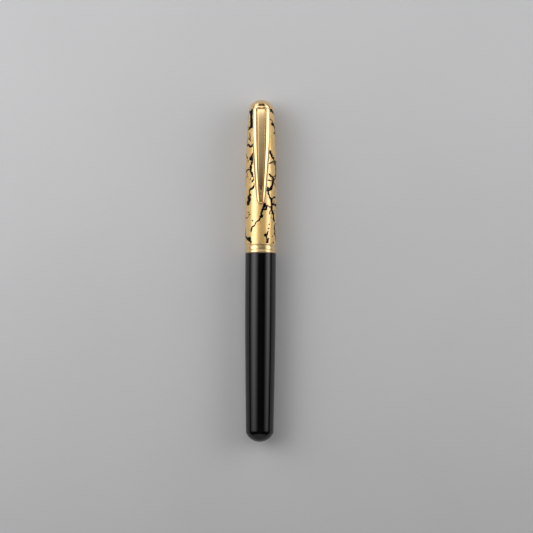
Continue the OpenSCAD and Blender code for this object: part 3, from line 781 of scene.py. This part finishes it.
def clip_section(station):
    """Points of one section: the back from left to right, then the belly from right to left."""
    v0, up0, v1, up1, half, groove, deep, crown = station
    sharp_edge, softer_at_tip, soft_length, sag = 0.22, 0.38, 22, 0.05
    rounding = sharp_edge + softer_at_tip * max(0, 1 - (v0 - CLIP_TIP) / soft_length)
    edge, wall = min(rounding, half * 0.4), groove_wall(groove)
    thick = math.hypot(v1 - v0, up1 - up0)
    dish = sag * (groove - wall) / (thick * deep)
    right = [(half - edge + edge * math.cos(a), edge * (1 - math.sin(a)) / thick)
             for a in np.radians(steps(0, 90, 4))]
    right += [(groove + (half - edge - groove) * f, 0) for f in (0.75, 0.5, 0.25)]
    right += [(groove, 0), (groove - wall * 0.5, deep * (0.5 - dish / 2))]
    right += [((groove - wall) * f, deep * (1 - dish * f * f)) for f in (1, 0.8, 0.6, 0.4, 0.2)]
    back = [(-x, q) for x, q in right] + [(0, deep)] + right[::-1]
    belly = [(half * f, 1.0) for f in steps(1, -1, 8)]
    points = []
    for x, q in back + belly:
        along, up = v0 + (v1 - v0) * q, up0 + (up1 - up0) * q
        if q == 1:
            drop = crown_drop(x, BELLY_R)
        elif q > 0 and abs(x) < groove - 1e-6:
            drop = crown_drop(groove, crown)
        else:
            drop = crown_drop(min(abs(x), crown * 0.98), crown)
        points.append((x, along, up - drop))
    return points


def build_clip():
    """Clip: a bent strip with two crowned rails and a groove that runs out through its tip."""
    sections = [clip_section(station) for station in clip_stations()]
    made = finished(new_mesh("clip_strip", *capped_sweep(sections)), sharp=27)
    dress(made, "gold_plate", CLIP_GOLD, GROOVE_GOLD)
    sunk, margin, level = 0.4, 0.1, 0.95
    for face in made.data.polygons:
        across, along, up = (face.center - Vector(place((0, 0, 0)))) / MM
        in_groove = along < SHOULDER - 2 and abs(across) < groove_half(along) - margin
        is_floor = ROOT_R + 1 < up < clip_top(along) - sunk and face.normal.z > level
        face.material_index = int(in_groove and is_floor)
    return made


# --- The pieces on their bodies -------------------------------------------------------------

for build, body, node in (
    (build_barrel, "barrel", "barrel"),
    (build_collar, "collar", "section_collar"),
    (build_tenon, "section", "section_tenon"),
    (build_grip, "section", "grip_section"),
    (build_nose, "section", "nose_cone"),
    (build_band, "cap", "cap_band"),
    (build_sleeve, "cap", "cap_sleeve"),
    (build_finial, "cap", "finial"),
):
    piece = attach(build(), body)
    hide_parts(node)

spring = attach(build_spring(), "barrel")
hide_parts("refill_spring")
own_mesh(spring)

clip = build_clip()
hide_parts("clip_arm")
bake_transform(clip)

for node, finish in {
    "barrel_bushing": BRASS, "spring_seat": WHITE_RESIN, "refill_tube": STEEL,
    "refill_plug": WHITE_RESIN, "ink_reservoir": FELT, "ink_wick": FELT,
    "feed_housing": BLACK_RESIN, "refill_point": STEEL, "writing_ball": BALL_STEEL,
    "tip_seal": RUBBER, "inner_cap": BLACK_RESIN, "cap_screw": STEEL, "clip_ring": TURNED_GOLD,
}.items():
    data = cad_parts[node].data
    data.materials.clear()
    data.materials.append(finish.material)


# --- Floor, light and camera ----------------------------------------------------------------

# Strengths of the parts of the light tent, then its size in metres and degrees from straight up
STRIP_LEFT, STRIP_RIGHT = 3.3, 3.0
MIDDLE_DIM, MIDDLE_SOFT, MIDDLE_BRIGHT = 0.05, 0.28, 1.5
TAIL_GLOW = 0.4
TENT_R, TENT_HALF, TENT_SIDE = 0.5, 1.2, 90.6


class Glow(Finish):
    """Emission whose strength is worked out from where a point is."""

    def __init__(self, name):
        super().__init__(name)
        self.tree.nodes.remove(self.shader)
        split = self.node("SeparateXYZ", {0: self.object_place})
        self.x, self.y, self.z = split.outputs
        self.emission = self.node("Emission")
        output = self.tree.nodes["Material Output"]
        self.tree.links.new(self.emission.outputs[0], output.inputs["Surface"])

    def ramp(self, value, start, stop, low=0.0, high=1.0, smooth=True):
        return self.scaled(value, low, high, start, stop, smooth=smooth)

    def product(self, *values):
        made = values[0]
        for value in values[1:]:
            made = self.math("MULTIPLY", made, value)
        return made


def build_floor():
    size = 4.0
    mesh = bpy.data.meshes.new("floor")
    mesh.from_pydata([(-size, -size, 0), (size, -size, 0), (size, size, 0), (-size, size, 0)],
                     [], [(0, 1, 2, 3)])
    made = linked(mesh)
    finish = Finish("floor_paper", Roughness=0.7, Specular_IOR_Level=0.2)
    colour_noise(finish, 90, (0.67, 0.672, 0.68), (0.7, 0.702, 0.71), detail=3)
    finish.bumps((finish.noise(1.5, detail=3), 0.01))
    mesh.materials.append(finish.material)


def aim(made, location, target):
    made.location = location
    made.rotation_mode = "QUATERNION"
    made.rotation_quaternion = (Vector(target) - Vector(location)).to_track_quat("-Z", "Y")


def tent_strength(glow):
    """How strongly each point of the tent shines, from its place along the pen in metres and its
    angle in degrees from straight up, which is below 0 on the left."""
    height = glow.math("SUBTRACT", glow.z, AXIS_HEIGHT)
    angle = glow.math("MULTIPLY", glow.math("ARCTAN2", glow.x, height), 180 / math.pi)
    spread = glow.ramp(glow.y, 0.3, 0.6, 0, 16)
    left = glow.math("ADD", angle, spread)
    left = glow.product(glow.ramp(left, -11, -49, 0, STRIP_LEFT), glow.ramp(left, -49, -88, 1, 0))
    right = glow.math("ADD", angle, glow.ramp(glow.y, 0.12, 0.4, 0, 11))
    right = glow.math("SUBTRACT", right, spread)
    right = glow.product(glow.ramp(right, 26, 66, 0, STRIP_RIGHT), glow.ramp(angle, 60, 86, 1, 0))
    strips = glow.product(glow.math("ADD", left, right),
                          glow.ramp(glow.y, -0.23, 0.08, 0, 1, smooth=False),
                          glow.ramp(glow.y, 0.15, 0.5, 1, 0.45))
    middle = glow.math("ADD", glow.ramp(glow.y, 0.02, 0.08, MIDDLE_DIM, MIDDLE_SOFT),
                       glow.ramp(glow.y, 0.08, 0.3, 0, MIDDLE_BRIGHT))
    middle = glow.product(middle, glow.ramp(glow.y, 0.29, 0.38, 1, 0.12),
                          glow.ramp(glow.y, 0.5, 0.8, 1, 0),
                          glow.ramp(glow.math("ABSOLUTE", angle, 0), 14, 34, 1, 0))
    tail = glow.ramp(glow.y, -0.4, -0.9, 0, TAIL_GLOW)
    return glow.math("ADD", glow.math("ADD", strips, middle), tail)


def build_light_tent():
    """Closed vault of light over the pen: a soft strip on each side, a glow over the cap, and a
    dim glow past the tail. Between them it is dark, so a face that looks straight up is dark."""
    angles = np.radians(np.linspace(-TENT_SIDE, TENT_SIDE, 49))
    points = [(TENT_R * math.sin(a), y, AXIS_HEIGHT + TENT_R * math.cos(a))
              for y in (-TENT_HALF, TENT_HALF) for a in angles]
    n = len(angles)
    vault = [(i, i + 1, n + i + 1, n + i) for i in range(n - 1)]
    mesh = bpy.data.meshes.new("light_tent")
    mesh.from_pydata(points, [], vault + [tuple(range(n)), tuple(range(n, 2 * n))])
    made = linked(mesh)
    glow = Glow("tent_glow")
    glow.put(glow.emission.inputs["Strength"], tent_strength(glow))
    ends = Finish("tent_ends", Base_Color=(0.02, 0.02, 0.02, 1), Emission_Color=(1, 1, 1, 1),
                  Emission_Strength=TAIL_GLOW)
    for finish in (glow, ends):
        mesh.materials.append(finish.material)
    for end in mesh.polygons[-2:]:
        end.material_index = 1
    made.visible_camera = False


build_floor()
build_light_tent()

scene = bpy.context.scene
world = bpy.data.worlds.new("studio")
world.use_nodes = True
background = world.node_tree.nodes["Background"]
background.inputs["Color"].default_value = (1, 1, 1, 1)
background.inputs["Strength"].default_value = 0.6
scene.world = world
scene.view_settings.view_transform = "Standard"

lens = bpy.data.cameras.new("camera")
lens.lens, lens.sensor_width = 100, 36
camera = bpy.data.objects.new("camera", lens)
scene.collection.objects.link(camera)
scene.camera = camera
off_centre, distance = (2.36, 1.47, 0), 588.4
elevation, lean = math.radians(88), math.radians(0.3)
target = Vector((0, 0, AXIS_HEIGHT)) + Vector(off_centre) * MM
view = Vector((0, -math.cos(elevation), math.sin(elevation)))
aim(camera, target + distance * MM * view, target)
camera.rotation_quaternion = camera.rotation_quaternion @ Quaternion((0, 0, 1), lean)
